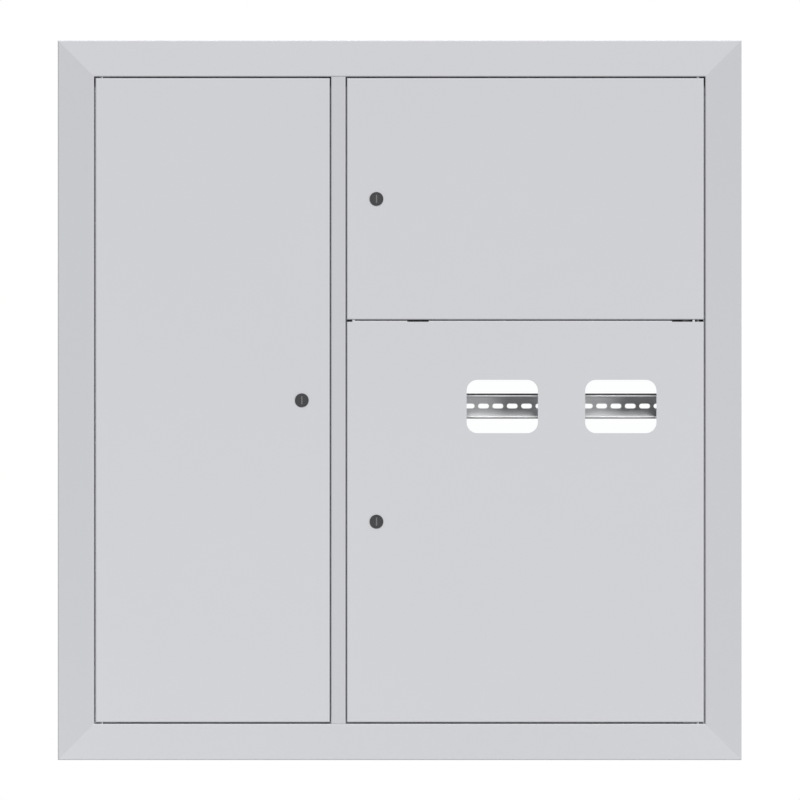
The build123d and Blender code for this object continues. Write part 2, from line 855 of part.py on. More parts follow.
def tray_screw_places():
    """Screws of the low-current plate, through the back flanges: top, bottom and left."""
    z = inner_z - back_flange + tray_hole_inset
    x = tray_left_x + tray_hole_inset
    far_x = tray_right_x - tray_hole_inset
    return [(far_x, z), (far_x, -z), (x, z - back_flange), (x, back_flange - z)]


def tray_screw_holes():
    """Screw holes through the low-current plate and the back flanges behind it."""
    holes = Sketch() + [Pos(x, z) * Circle(screw_bore) for x, z in tray_screw_places()]
    return from_front(holes, back_flange_y - 2 * sheet, 4 * sheet)


def low_current_plate():
    """Plate on the back flanges of the left bay, slotted for cable ties."""
    z = inner_z - tray_edge_room
    plate = block(tray_left_x, tray_right_x, back_flange_y - sheet, back_flange_y, -z, z)
    grid = GridLocations(tray_slot_column_pitch, tray_slot_row_pitch, 2, tray_slot_rows)
    slots = pattern(grid, SlotOverall(tray_slot_length, tray_slot_width))
    slots = Pos((tray_left_x + tray_right_x) / 2, 0) * slots
    return plate - from_front(slots, back_flange_y - 2 * sheet, 3 * sheet) - tray_screw_holes()


def fixing_screws():
    """Screws of the rails, the cover, the bars, the low-current plate and the uprights."""
    rail_screw = pan_screw(rail_wall + sheet + screw_tail)
    cover_screw = pan_screw(post_bore_depth - screw_tail)
    bar_screw = pan_screw(bar_thickness + insulator_height + sheet + screw_tail)
    plate_screw = pan_screw(2 * sheet)
    foot_screw = pan_screw(2 * sheet + screw_tail)
    meter_seat = meter_upright_y - rail_wall
    breaker_seat = breaker_upright_y - rail_wall
    screws = []
    for x in meter_screw_xs:
        screws.append(Pos(x, meter_seat, meter_rail_z) * rail_screw)
    for x in breaker_upright_xs:
        screws += [Pos(x, breaker_seat, z) * rail_screw for z in breaker_rail_zs]
        screws += [Pos(x, cover_front_y, z) * cover_screw for z in post_zs]
        screws += [Pos(x, bar_front_y, z) * bar_screw for z in bar_fixing_zs]
    screws += [Pos(x, back_flange_y - sheet, z) * plate_screw for x, z in tray_screw_places()]
    uprights = [(x, meter_upright_y, -inner_z, shelf_bottom) for x in meter_upright_xs]
    uprights += [(x, breaker_upright_y, shelf_top, inner_z) for x in breaker_upright_xs]
    for x, front, bottom_z, top_z in uprights:
        screws.append(Pos(x, front + foot_hole, bottom_z + sheet) * Rot(-90, 0, 0) * foot_screw)
        screws.append(Pos(x, front + foot_hole, top_z - sheet) * Rot(90, 0, 0) * foot_screw)
    return group(screws)


# Sizes that follow from the pieces above
lug_z = (upper_bottom_z + notch_bottom_z) / 2
lug_clearance = (upper_bottom_z - notch_bottom_z - sheet) / 2
cam_front = door_depth + stop_gap + sheet + cam_play
barrel_end = cam_front - cam_play
tray_left_x = tray_edge_room - inner_x
tray_right_x = partition_left - tray_edge_room
left_lock_x = left_free_x - lock_inset_left
right_lock_x = right_free_x + lock_inset_right
seal_top_z = aperture_z - seal_inset
seal_left_x = mullion_left - seal_inset
seal_right_x = mullion_right + seal_inset
lock_places = {
    "left": (left_lock_x, (door_bottom_z + door_top_z) / 2),
    "upper": (right_lock_x, (upper_bottom_z + door_top_z) / 2),
    "lower": (right_lock_x, (door_bottom_z + lower_top_z) / 2),
}

pieces = {
    "trim_top": trim_bar(up),
    "trim_bottom": trim_bar(-up),
    "trim_left": trim_bar(-right),
    "trim_right": trim_bar(right),
    "wall_top": end_wall(up, breaker_feet()),
    "wall_bottom": end_wall(-up, meter_feet()),
    "wall_left": side_wall(-right),
    "wall_right": side_wall(right),
    "mullion": mullion(),
    "transom": transom(),
    "partition": partition(),
    "shelf": shelf(),
    "hinge_lug": hinge_lug(),
    "hinge_pins": hinge_pins(),
    "left_door": hinged_door(
        left_free_x, left_hinge_x, left_pivot_x, door_bottom_z, door_top_z, left_lock_x
    ),
    "upper_door": hinged_door(
        right_free_x, right_hinge_x, right_pivot_x, upper_bottom_z, door_top_z, right_lock_x
    ),
    "lower_door": lower_door(),
    "left_door_pivots": group(
        [
            pivot_plate(left_hinge_x, left_pivot_x, door_top_z - sheet, -1),
            pivot_plate(left_hinge_x, left_pivot_x, door_bottom_z + sheet, 1),
        ]
    ),
    "upper_door_pivots": group(
        [
            pivot_plate(right_hinge_x, right_pivot_x, door_top_z - sheet, -1),
            pivot_plate(right_hinge_x, right_pivot_x, upper_bottom_z + sheet, 1),
        ]
    ),
    "lower_door_pivots": group(
        [
            pivot_plate(right_hinge_x, right_pivot_x, notch_bottom_z, -1),
            pivot_plate(right_hinge_x, right_pivot_x, door_bottom_z + sheet, 1),
        ]
    ),
    "window_pane_left": window_pane(window_xs[0]),
    "window_pane_right": window_pane(window_xs[1]),
    "pane_strips": pane_strips(),
    "left_door_seal": door_seal(seal_left_x, left_pivot_x, -seal_top_z, seal_top_z),
    "upper_door_seal": door_seal(seal_right_x, right_pivot_x, seam_z + seal_split / 2, seal_top_z),
    "lower_door_seal": door_seal(seal_right_x, right_pivot_x, -seal_top_z, seam_z - seal_split / 2),
    "meter_upright_left": meter_upright(meter_screw_xs[:1]),
    "meter_upright_middle": meter_upright(meter_screw_xs[1:3]),
    "meter_upright_right": meter_upright(meter_screw_xs[3:]),
    "meter_rail_left": top_hat_rail(meter_rail_xs[0], meter_rail_z, meter_upright_y, meter_slots),
    "meter_rail_right": top_hat_rail(meter_rail_xs[1], meter_rail_z, meter_upright_y, meter_slots),
    "breaker_upright_left": breaker_upright(breaker_upright_xs[0]),
    "breaker_upright_right": breaker_upright(breaker_upright_xs[1]),
    "breaker_rail_upper": top_hat_rail(right_bay_x, breaker_rail_zs[0], breaker_upright_y, breaker_slots),
    "breaker_rail_lower": top_hat_rail(right_bay_x, breaker_rail_zs[1], breaker_upright_y, breaker_slots),
    "cover_panel": cover_panel(),
    "cover_posts": group(
        Pos(x, cover_front_y + sheet, z) * cover_post() for x in breaker_upright_xs for z in post_zs
    ),
    "neutral_bar": terminal_bar(breaker_upright_xs[0]),
    "earth_bar": terminal_bar(breaker_upright_xs[1]),
    "bar_insulators": group(
        Pos(x, bar_back_y, z) * insulator() for x in breaker_upright_xs for z in bar_fixing_zs
    ),
    "terminal_screws": group(
        Pos(x, bar_front_y, z) * terminal_screw() for x in breaker_upright_xs for z in terminal_zs()
    ),
    "low_current_plate": low_current_plate(),
    "fixing_screws": fixing_screws(),
}

for name, (x, z) in lock_places.items():
    place = Pos(x, front_y, z)
    pieces[f"{name}_lock_barrel"] = place * lock_barrel()
    pieces[f"{name}_lock_nut"] = place * lock_nut()
    pieces[f"{name}_lock_plug"] = place * lock_plug()
    pieces[f"{name}_lock_cam"] = place * lock_cam()
    pieces[f"{name}_lock_screw"] = place * cam_screw()

os.makedirs("parts", exist_ok=True)
for name, piece in pieces.items():
    export_step(piece, f"parts/{name}.step")
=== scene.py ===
import json
import math

import bmesh
import bpy
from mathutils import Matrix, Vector


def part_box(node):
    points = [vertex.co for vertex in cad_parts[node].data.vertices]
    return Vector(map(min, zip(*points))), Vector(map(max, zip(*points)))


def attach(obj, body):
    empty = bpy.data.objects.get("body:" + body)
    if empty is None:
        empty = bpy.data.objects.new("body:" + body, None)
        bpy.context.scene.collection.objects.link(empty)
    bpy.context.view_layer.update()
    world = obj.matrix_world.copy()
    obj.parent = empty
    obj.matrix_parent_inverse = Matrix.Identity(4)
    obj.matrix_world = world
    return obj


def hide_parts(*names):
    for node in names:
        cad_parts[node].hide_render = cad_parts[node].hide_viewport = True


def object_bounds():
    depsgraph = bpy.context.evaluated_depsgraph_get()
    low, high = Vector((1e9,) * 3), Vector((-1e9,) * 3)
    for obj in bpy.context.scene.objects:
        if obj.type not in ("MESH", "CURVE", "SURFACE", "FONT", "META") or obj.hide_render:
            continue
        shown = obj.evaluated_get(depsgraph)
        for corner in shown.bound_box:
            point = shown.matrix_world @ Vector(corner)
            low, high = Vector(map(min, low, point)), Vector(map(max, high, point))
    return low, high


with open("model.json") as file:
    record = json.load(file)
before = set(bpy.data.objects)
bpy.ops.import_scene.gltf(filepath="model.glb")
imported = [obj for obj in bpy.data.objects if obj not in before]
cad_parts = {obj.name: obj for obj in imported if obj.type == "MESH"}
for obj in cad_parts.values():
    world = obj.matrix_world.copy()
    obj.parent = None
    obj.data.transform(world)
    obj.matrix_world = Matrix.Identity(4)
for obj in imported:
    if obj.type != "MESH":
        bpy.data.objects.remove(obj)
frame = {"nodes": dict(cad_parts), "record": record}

# Looks of a floor distribution board: painted sheet, plated rails, locks, screws, welds, light and camera.
# Lengths are in metres, in the part's own frame: X right, Y back into the wall, Z up.

cad_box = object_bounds()
parts = frame["nodes"]
mm = 0.001
back = Vector((0.0, 1.0, 0.0))
doors = {"left": "left_door", "upper": "upper_door", "lower": "lower_door"}

# Sizes of the solids that the details sit on
sheet = 1.2 * mm
rail_brim = 14.1 * mm  # from the middle of a rail to the flat of its brims
screw_head_radius = 4.5 * mm
screw_head = 3.0 * mm
screw_shank_radius = 2.5 * mm
terminal_head_radius = 3.2 * mm
terminal_head = 2.2 * mm
terminal_shank_radius = 2.0 * mm
barrel_radius = 8.0 * mm
barrel_half_width = 7.5 * mm  # to a flat of the barrel
stud_radius = 3.0 * mm
stud_length = 13.0 * mm
stud_inset = 40.5 * mm  # from a door's hinge edge
stud_rise = 60.0 * mm  # from a door's lower edge
wall_flange = 20.0 * mm  # round the open back of the box

# Sizes of the details
thread_sink = 0.05 * mm  # from the round of a bar down to the middle of its thread's ridge
flat_sink = 0.02 * mm  # from a flat of the bar down to the ridge's edge there
barrel_end = 0.5 * mm  # left without thread
stud_end = 0.8 * mm  # left without thread
shutter_length = 11.7 * mm
shutter_width = 1.6 * mm
shutter_depth = 0.5 * mm  # behind the plug's face
shutter_thickness = 0.9 * mm
shutter_edge = 0.25 * mm
spot_pitch = 100.0 * mm
spot_margin = 40.0 * mm  # from a corner of the box to the first spot weld
stitch = 22.0 * mm
stitch_ys = (34.0 * mm, 66.0 * mm, 98.0 * mm)  # middles of the stitches along a sheet
bead_margin = 1.5 * mm  # from a corner of the box to the end of its bead


# Node trees


def add(tree, kind, settings=None, inputs=None):
    """Adds a node. Each input is a plain value, or the socket that feeds it."""
    node = tree.nodes.new(kind)
    for name, value in (settings or {}).items():
        setattr(node, name, value)
    for name, value in (inputs or {}).items():
        if isinstance(value, bpy.types.NodeSocket):
            tree.links.new(value, node.inputs[name])
        else:
            node.inputs[name].default_value = value
    return node


def calc(tree, operation, *values):
    """One sum on plain values or sockets."""
    return add(tree, "ShaderNodeMath", {"operation": operation}, dict(enumerate(values))).outputs[0]


def remap(tree, value, low, high):
    """Spreads a value from 0 to 1 between low and high."""
    inputs = {"Value": value, "To Min": low, "To Max": high}
    return add(tree, "ShaderNodeMapRange", None, inputs).outputs[0]


def ramp(tree, value, start, end):
    """Mask that goes smoothly from 0 at a start value to 1 at an end value."""
    inputs = {"Value": value, "From Min": start, "From Max": end}
    return add(tree, "ShaderNodeMapRange", {"interpolation_type": "SMOOTHSTEP"}, inputs).outputs[0]


def xyz(tree, x=0.0, y=0.0, z=0.0):
    """Vector from three values."""
    return add(tree, "ShaderNodeCombineXYZ", None, {"X": x, "Y": y, "Z": z}).outputs[0]


def group_tree(name, kind, inputs, outputs):
    """Empty node group with named sockets. Inputs are name, socket type and default."""
    tree = bpy.data.node_groups.new(name, kind)
    for label, socket_type, default in inputs:
        socket = tree.interface.new_socket(label, in_out="INPUT", socket_type=socket_type)
        if default is not None:
            socket.default_value = default
    for label, socket_type in outputs:
        tree.interface.new_socket(label, in_out="OUTPUT", socket_type=socket_type)
    return tree, add(tree, "NodeGroupInput").outputs, add(tree, "NodeGroupOutput").inputs


def noise(tree, vector, scale, detail=2.0, roughness=0.5):
    """Noise round 0, with scale in waves per metre."""
    inputs = {"Vector": vector, "Scale": scale, "Detail": detail, "Roughness": roughness}
    return calc(tree, "SUBTRACT", add(tree, "ShaderNodeTexNoise", None, inputs).outputs["Fac"], 0.5)


def tinted(tree, color, shade):
    """A colour made lighter or darker by a value round 1."""
    inputs = {0: color, "Scale": shade}
    return add(tree, "ShaderNodeVectorMath", {"operation": "SCALE"}, inputs).outputs[0]


def object_place(tree):
    """Object coordinates."""
    return add(tree, "ShaderNodeTexCoord").outputs["Object"]


# Finishes that more than one material uses

finish_outputs = [
    ("Color", "NodeSocketColor"),
    ("Roughness", "NodeSocketFloat"),
    ("Height", "NodeSocketFloat"),
]


def end_finish(tree, result, color, gloss, height):
    """Feeds the outputs of a finish."""
    tree.links.new(color, result["Color"])
    tree.links.new(gloss, result["Roughness"])
    tree.links.new(height, result["Height"])


def make_powder_group():
    """Powder coat: slow drift of tone, orange peel and a fine grain."""
    tree, given, result = group_tree(
        "Powder coat",
        "ShaderNodeTree",
        [
            ("Color", "NodeSocketColor", (0.6, 0.6, 0.6, 1.0)),
            ("Drift", "NodeSocketFloat", 0.025),
            ("Speckle", "NodeSocketFloat", 0.03),
            ("Roughness", "NodeSocketFloat", 0.45),
            ("Clouding", "NodeSocketFloat", 0.12),
            ("Fine Height", "NodeSocketFloat", 0.4),
        ],
        finish_outputs,
    )
    place = object_place(tree)
    drift = noise(tree, place, scale=3.5)
    cloud = noise(tree, place, scale=45.0)
    peel = noise(tree, place, scale=420.0, detail=1.0)
    grain = noise(tree, place, scale=1800.0, detail=3.0)
    shade = calc(tree, "MULTIPLY_ADD", drift, given["Drift"], 1.0)
    shade = calc(tree, "MULTIPLY_ADD", grain, given["Speckle"], shade)
    gloss = calc(tree, "MULTIPLY_ADD", cloud, given["Clouding"], given["Roughness"])
    height = calc(tree, "MULTIPLY_ADD", grain, given["Fine Height"], peel)
    end_finish(tree, result, tinted(tree, given["Color"], shade), gloss, height)
    return tree


def make_plated_group():
    """Plated steel: drawn streaks along the grain, and cloudy passivation."""
    tree, given, result = group_tree(
        "Plated steel",
        "ShaderNodeTree",
        [
            ("Color", "NodeSocketColor", (0.6, 0.6, 0.6, 1.0)),
            ("Grain", "NodeSocketVector", (0.0, 0.0, 0.0)),
            ("Streaks", "NodeSocketFloat", 0.15),
            ("Clouds", "NodeSocketFloat", 0.7),
            ("Roughness", "NodeSocketFloat", 0.35),
            ("Clouding", "NodeSocketFloat", 0.2),
        ],
        finish_outputs,
    )
    streak = noise(tree, given["Grain"], scale=1.0, detail=4.0, roughness=0.6)
    cloud = noise(tree, object_place(tree), scale=30.0, detail=3.0)
    mixed = calc(tree, "MULTIPLY_ADD", cloud, given["Clouds"], streak)
    shade = calc(tree, "MULTIPLY_ADD", mixed, given["Streaks"], 1.0)
    gloss = calc(tree, "MULTIPLY_ADD", mixed, given["Clouding"], given["Roughness"])
    end_finish(tree, result, tinted(tree, given["Color"], shade), gloss, streak)
    return tree


def make_moulded_group():
    """Moulded, cast or foamed surface: one even grain in its tone, gloss and height."""
    tree, given, result = group_tree(
        "Moulded grain",
        "ShaderNodeTree",
        [
            ("Color", "NodeSocketColor", (0.1, 0.1, 0.1, 1.0)),
            ("Scale", "NodeSocketFloat", 900.0),
            ("Drift", "NodeSocketFloat", 0.4),
            ("Roughness", "NodeSocketFloat", 0.4),
            ("Clouding", "NodeSocketFloat", 0.12),
        ],
        finish_outputs,
    )
    grain = noise(tree, object_place(tree), given["Scale"], detail=3.0)
    shade = calc(tree, "MULTIPLY_ADD", grain, given["Drift"], 1.0)
    gloss = calc(tree, "MULTIPLY_ADD", grain, given["Clouding"], given["Roughness"])
    end_finish(tree, result, tinted(tree, given["Color"], shade), gloss, grain)
    return tree


powder_group = make_powder_group()
plated_group = make_plated_group()
moulded_group = make_moulded_group()


# Materials


def new_material(name):
    """Material with one Principled shader."""
    material = bpy.data.materials.new(name)
    material.use_nodes = True
    tree = material.node_tree
    return material, tree, tree.nodes["Principled BSDF"].inputs


def use_finish(tree, shader, group, inputs, depth, strength):
    """Places a finish and feeds the shader from it, with depth as the height of its grain."""
    finish = add(tree, "ShaderNodeGroup", {"node_tree": group}, inputs).outputs
    inputs = {"Height": finish["Height"], "Distance": depth, "Strength": strength}
    bump = add(tree, "ShaderNodeBump", None, inputs)
    tree.links.new(finish["Color"], shader["Base Color"])
    tree.links.new(finish["Roughness"], shader["Roughness"])
    tree.links.new(bump.outputs["Normal"], shader["Normal"])


def powder_coat(name, color, roughness=0.46):
    """Painted sheet."""
    material, tree, shader = new_material(name)
    inputs = {"Color": (*color, 1.0), "Roughness": roughness}
    use_finish(tree, shader, powder_group, inputs, depth=0.03 * mm, strength=0.5)
    shader["Specular IOR Level"].default_value = 0.35
    return material


def plated_steel(name, color, grain, roughness=0.36, streaks=0.3, metallic=1.0, specular=0.5):
    """Bare or plated metal, with grain as waves per metre along X, Y and Z. A dull coat isn't metallic."""
    material, tree, shader = new_material(name)
    inputs = {"Vector": object_place(tree), "Scale": grain}
    stretched = add(tree, "ShaderNodeMapping", None, inputs).outputs[0]
    inputs = {"Color": (*color, 1.0), "Grain": stretched, "Streaks": streaks, "Roughness": roughness}
    use_finish(tree, shader, plated_group, inputs, depth=0.02 * mm, strength=0.4)
    shader["Metallic"].default_value = metallic
    shader["Specular IOR Level"].default_value = specular
    return material


def rolled_zinc(name, color, rail):
    """Dull zinc of a rail, rubbed bright at its upper bend and lower brim, with painted shade on its upper
    brim and edges.
    """
    # How far the painted shade darkens the upper brim and the edges
    painted_brim_darkening = 0.6
    painted_edge_darkening = 0.95
    rub_gloss = 0.25
    low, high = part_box(rail)
    half_height = (high.z - low.z) / 2
    material = plated_steel(name, color, along_x, roughness=0.5, metallic=0.0, specular=0.12)
    tree = material.node_tree
    shader = tree.nodes["Principled BSDF"].inputs
    plain = shader["Base Color"].links[0].from_socket
    gloss = shader["Roughness"].links[0].from_socket

    z = add(tree, "ShaderNodeSeparateXYZ", None, {0: object_place(tree)}).outputs["Z"]
    up = calc(tree, "SUBTRACT", z, (low.z + high.z) / 2)
    # Masks for the painted shade along both edges and on the upper brim
    edge = ramp(tree, calc(tree, "ABSOLUTE", up), half_height - 2.2 * mm, half_height - 1.0 * mm)
    shaded_upper_brim = ramp(tree, up, rail_brim + 0.6 * mm, rail_brim + 1.1 * mm)
    above_bend = ramp(tree, up, rail_brim - 0.9 * mm, rail_brim - 0.5 * mm)
    upper_bend = calc(tree, "SUBTRACT", above_bend, shaded_upper_brim)
    lower_brim = ramp(tree, up, 0.2 * mm - rail_brim, -0.2 * mm - rail_brim)
    rubbed = calc(tree, "ADD", upper_bend, lower_brim)

    # Painted shade: the upper brim and the edges made darker in colour, as if in shadow
    painted_brim_shade = calc(tree, "MULTIPLY_ADD", shaded_upper_brim, -painted_brim_darkening, 1.0)
    painted_edge_shade = calc(tree, "MULTIPLY_ADD", edge, -painted_edge_darkening, 1.0)
    shade = calc(tree, "MULTIPLY", painted_brim_shade, painted_edge_shade)
    tree.links.new(tinted(tree, plain, shade), shader["Base Color"])
    tree.links.new(calc(tree, "MULTIPLY_ADD", rubbed, -rub_gloss, gloss), shader["Roughness"])
    tree.links.new(rubbed, shader["Metallic"])
    return material


def moulded(name, color, roughness, scale, drift, depth, specular=0.5):
    """Moulded, cast or foamed piece, with a grain of so many waves per metre and of the given depth."""
    material, tree, shader = new_material(name)
    inputs = {"Color": (*color, 1.0), "Scale": scale, "Drift": drift, "Roughness": roughness}
    use_finish(tree, shader, moulded_group, inputs, depth, strength=0.6)
    shader["Specular IOR Level"].default_value = specular
    return material


def clear_acrylic(name):
    """Clear sheet with a coat against glare, which lets the light of the lamps through."""
    material, tree, shader = new_material(name)
    shader["Base Color"].default_value = (0.985, 0.995, 0.993, 1.0)
    shader["Roughness"].default_value = 0.0
    shader["IOR"].default_value = 1.15
    shader["Transmission Weight"].default_value = 1.0
    path = add(tree, "ShaderNodeLightPath").outputs
    through = calc(tree, "MAXIMUM", path["Is Shadow Ray"], path["Is Diffuse Ray"])
    glass = tree.nodes["Principled BSDF"].outputs[0]
    clear = add(tree, "ShaderNodeBsdfTransparent", None, {"Color": (0.92, 0.92, 0.92, 1.0)}).outputs[0]
    mix = add(tree, "ShaderNodeMixShader", None, {0: through, 1: glass, 2: clear})
    tree.links.new(mix.outputs[0], tree.nodes["Material Output"].inputs["Surface"])
    return material


along_x = (6.0, 900.0, 900.0)
along_z = (900.0, 900.0, 6.0)
even = (500.0, 500.0, 500.0)

coat = (0.610, 0.616, 0.644)
zinc = (0.42, 0.43, 0.45)
# Painted shade and light on the trim bars and the mullion: one coat, made darker on the side bars and the
# mullion and lighter on the bottom bar, as light falls on them
bar_shading_tones = {
    "trim_left": 0.945,
    "trim_right": 0.905,
    "trim_top": 0.968,
    "trim_bottom": 1.02,
    "mullion": 0.915,
}

finishes = {
    "trim_paint": powder_coat("Trim powder coat", coat),
    "door_paint": powder_coat("Door powder coat", coat),
    "box_paint": powder_coat("Box powder coat", (0.60, 0.61, 0.635), roughness=0.5),
    "zinc_plate": plated_steel("Zinc plate", zinc, along_x, roughness=0.5),
    # Black plate of the hinge lugs: a black finish that also serves as painted shade, keeping the hinge
    # notches dark
    "black_plate": plated_steel(
        "Black plate", (0.03, 0.03, 0.032), even, roughness=0.5, streaks=0.5, metallic=0.0, specular=0.3
    ),
    "steel": plated_steel("Bright steel", (0.58, 0.58, 0.59), even, roughness=0.3),
    "lock_body": moulded(
        "Dark lock casting",
        (0.025, 0.0257, 0.0275),
        roughness=0.4,
        scale=900.0,
        drift=0.4,
        depth=0.02 * mm,
        specular=0.4,
    ),
    "lock_steel": plated_steel("Lock steel", (0.5, 0.5, 0.51), even, roughness=0.38),
    "brass": plated_steel("Drawn brass", (0.72, 0.52, 0.22), along_z, roughness=0.3),
    "insulator": moulded(
        "Red insulator", (0.36, 0.03, 0.022), roughness=0.35, scale=300.0, drift=0.16, depth=0.01 * mm
    ),
    "foam": moulded(
        "Closed-cell foam", (0.022, 0.022, 0.024), roughness=0.85, scale=2200.0, drift=0.8, depth=0.15 * mm
    ),
    "clear_pane": clear_acrylic("Clear acrylic"),
}
# Lit and shaded copies of the coat for the trim bars and the mullion, as painted shade
shaded_bar_paints = {
    name: powder_coat(f"Powder coat, {name}", [channel * tone for channel in coat])
    for name, tone in bar_shading_tones.items()
}
upright_plate = plated_steel("Zinc plate, upright grain", zinc, along_z, roughness=0.5)
dull_zinc = rolled_zinc("Dull zinc", (0.78, 0.78, 0.79), "meter_rail_left")
pin_steel = plated_steel("Oiled pin steel", (0.2, 0.2, 0.205), even, roughness=0.4)
shutter_steel = plated_steel("Shutter steel", (0.15, 0.15, 0.155), along_z, roughness=0.4)


def finish_of(name, slot):
    """The material of a node: one for its name, or else the finish of its slot."""
    # Trim bars and mullion take their copy of the coat with painted shade
    if name in shaded_bar_paints:
        return shaded_bar_paints[name]
    if "upright" in name:
        return upright_plate
    if "meter_rail" in name:
        return dull_zinc
    if name == "hinge_pins":
        return pin_steel
    return finishes[slot]


for row in frame["record"]["subparts"]:
    part = parts[row["node"]]
    part.data.materials.clear()
    part.data.materials.append(finish_of(row["node"], row["material_slot"]))


# Growing repeated pieces from node trees

places_input = ("Places", "NodeSocketGeometry", None)
material_input = ("Material", "NodeSocketMaterial", None)
mesh_output = [("Geometry", "NodeSocketGeometry")]
smooth_below = math.radians(32.0)


def size_input(label, value):
    """Named length of a tree."""
    return (label, "NodeSocketFloat", value)


def cylinder(tree, vertices, radius, depth, side_segments=1):
    """Cylinder about Z, with its middle at the origin."""
    inputs = {"Vertices": vertices, "Radius": radius, "Depth": depth, "Side Segments": side_segments}
    return add(tree, "GeometryNodeMeshCylinder", None, inputs).outputs["Mesh"]


def ball(tree, segments, rings):
    """Ball of radius 1."""
    inputs = {"Segments": segments, "Rings": rings, "Radius": 1.0}
    return add(tree, "GeometryNodeMeshUVSphere", None, inputs).outputs["Mesh"]


def moved(tree, shape, place=(0.0, 0.0, 0.0), turn=(0.0, 0.0, 0.0), scale=(1.0, 1.0, 1.0)):
    """A shape in another place, turned or stretched."""
    inputs = {"Geometry": shape, "Translation": place, "Rotation": turn, "Scale": scale}
    return add(tree, "GeometryNodeTransform", None, inputs).outputs[0]


def point_parts(tree):
    """X, Y and Z of each point of a shape."""
    position = add(tree, "GeometryNodeInputPosition").outputs[0]
    return add(tree, "ShaderNodeSeparateXYZ", None, {0: position}).outputs


def reshaped(tree, shape, position):
    """A shape with its points set anew."""
    inputs = {"Geometry": shape, "Position": position}
    return add(tree, "GeometryNodeSetPosition", None, inputs).outputs[0]


def together(tree, *shapes):
    """Several shapes as one."""
    join = add(tree, "GeometryNodeJoinGeometry")
    for shape in shapes:
        tree.links.new(shape, join.inputs[0])
    return join.outputs[0]


def facing(tree, turn=(0.0, 0.0, 0.0)):
    """Turns a copy's Z axis the way that its place faces."""
    aim = add(tree, "GeometryNodeInputNamedAttribute", {"data_type": "FLOAT_VECTOR"}, {"Name": "aim"})
    inputs = {"Rotation": turn, "Vector": aim.outputs["Attribute"]}
    return add(tree, "FunctionNodeAlignRotationToVector", {"axis": "Z"}, inputs).outputs[0]


def chance(tree, low, high, seed):
    """Random value for each place, the same on every run."""
    inputs = {2: low, 3: high, 8: seed}  # the limits of a plain number, and the seed
    return add(tree, "FunctionNodeRandomValue", {"data_type": "FLOAT"}, inputs).outputs[1]


def end_tree(tree, given, result, points, shape, turn, scale=(1.0, 1.0, 1.0)):
    """Ends a tree: a copy of a shape at each point, as one plain mesh in the given material."""
    inputs = {"Points": points, "Instance": shape, "Rotation": turn, "Scale": scale}
    copies = add(tree, "GeometryNodeInstanceOnPoints", None, inputs).outputs[0]
    plain = add(tree, "GeometryNodeRealizeInstances", None, {"Geometry": copies}).outputs[0]
    smooth = add(tree, "GeometryNodeSetShadeSmooth", None, {"Geometry": plain}).outputs[0]
    inputs = {"Geometry": smooth, "Material": given["Material"]}
    finished = add(tree, "GeometryNodeSetMaterial", None, inputs).outputs[0]
    tree.links.new(finished, result[0])


def domed_head(tree, given, grooves):
    """Domed screw head with a recess of so many crossing grooves."""
    dome = math.radians(78.0)  # from the rim to the flat top
    x, y, z = point_parts(tree)
    rise = calc(tree, "ADD", calc(tree, "DIVIDE", z, given["Head Height"]), 0.5)
    angle = calc(tree, "MULTIPLY", rise, dome)
    squeeze = calc(tree, "POWER", calc(tree, "COSINE", angle), 0.5)
    height = calc(tree, "MULTIPLY", calc(tree, "SINE", angle), given["Head Height"])
    height = calc(tree, "DIVIDE", height, math.sin(dome))
    domed = xyz(tree, calc(tree, "MULTIPLY", x, squeeze), calc(tree, "MULTIPLY", y, squeeze), height)
    blank = cylinder(tree, 40, given["Head Radius"], given["Head Height"], side_segments=8)
    head = reshaped(tree, blank, domed)

    cut = add(tree, "GeometryNodeMeshBoolean", {"operation": "DIFFERENCE"}, {"Mesh 1": head})
    twice_deep = calc(tree, "MULTIPLY", given["Groove Depth"], 2.0)
    groove_size = xyz(tree, given["Groove Length"], given["Groove Width"], twice_deep)
    groove = add(tree, "GeometryNodeMeshCube", None, {"Size": groove_size}).outputs["Mesh"]
    for index in range(grooves):
        turn = (0.0, 0.0, math.pi * index / grooves)
        placed = moved(tree, groove, xyz(tree, z=given["Head Height"]), turn)
        tree.links.new(placed, cut.inputs["Mesh 2"])
    return cut.outputs["Mesh"]


def threaded_shank(tree, given):
    """Screw shank with a cut thread and a tapered tip."""
    rings_per_turn = 5.0
    tip_share = 0.7  # radius of the tip, as a share of the shank's
    turns = calc(tree, "DIVIDE", given["Shank Length"], given["Pitch"])
    x, y, z = point_parts(tree)
    down = calc(tree, "SUBTRACT", calc(tree, "MULTIPLY", given["Shank Length"], 0.5), z)
    round_share = calc(tree, "DIVIDE", calc(tree, "ARCTAN2", y, x), math.tau)
    turn = calc(tree, "ADD", calc(tree, "DIVIDE", down, given["Pitch"]), round_share)
    groove_share = calc(tree, "MULTIPLY_ADD", calc(tree, "FRACT", turn), 2.0, -1.0)
    groove_share = calc(tree, "ABSOLUTE", groove_share)
    depth_share = calc(tree, "DIVIDE", given["Thread Depth"], given["Shank Radius"])
    narrow = calc(tree, "SUBTRACT", 1.0, calc(tree, "MULTIPLY", groove_share, depth_share))
    to_tip = calc(tree, "SUBTRACT", given["Shank Length"], down)
    taper = calc(tree, "ADD", calc(tree, "DIVIDE", to_tip, given["Shank Radius"]), tip_share)
    narrow = calc(tree, "MULTIPLY", narrow, calc(tree, "MINIMUM", taper, 1.0))
    threaded = xyz(
        tree,
        calc(tree, "MULTIPLY", x, narrow),
        calc(tree, "MULTIPLY", y, narrow),
        calc(tree, "MULTIPLY", down, -1.0),
    )
    rings = calc(tree, "MULTIPLY", turns, rings_per_turn)
    return reshaped(tree, cylinder(tree, 24, given["Shank Radius"], given["Shank Length"], rings), threaded)


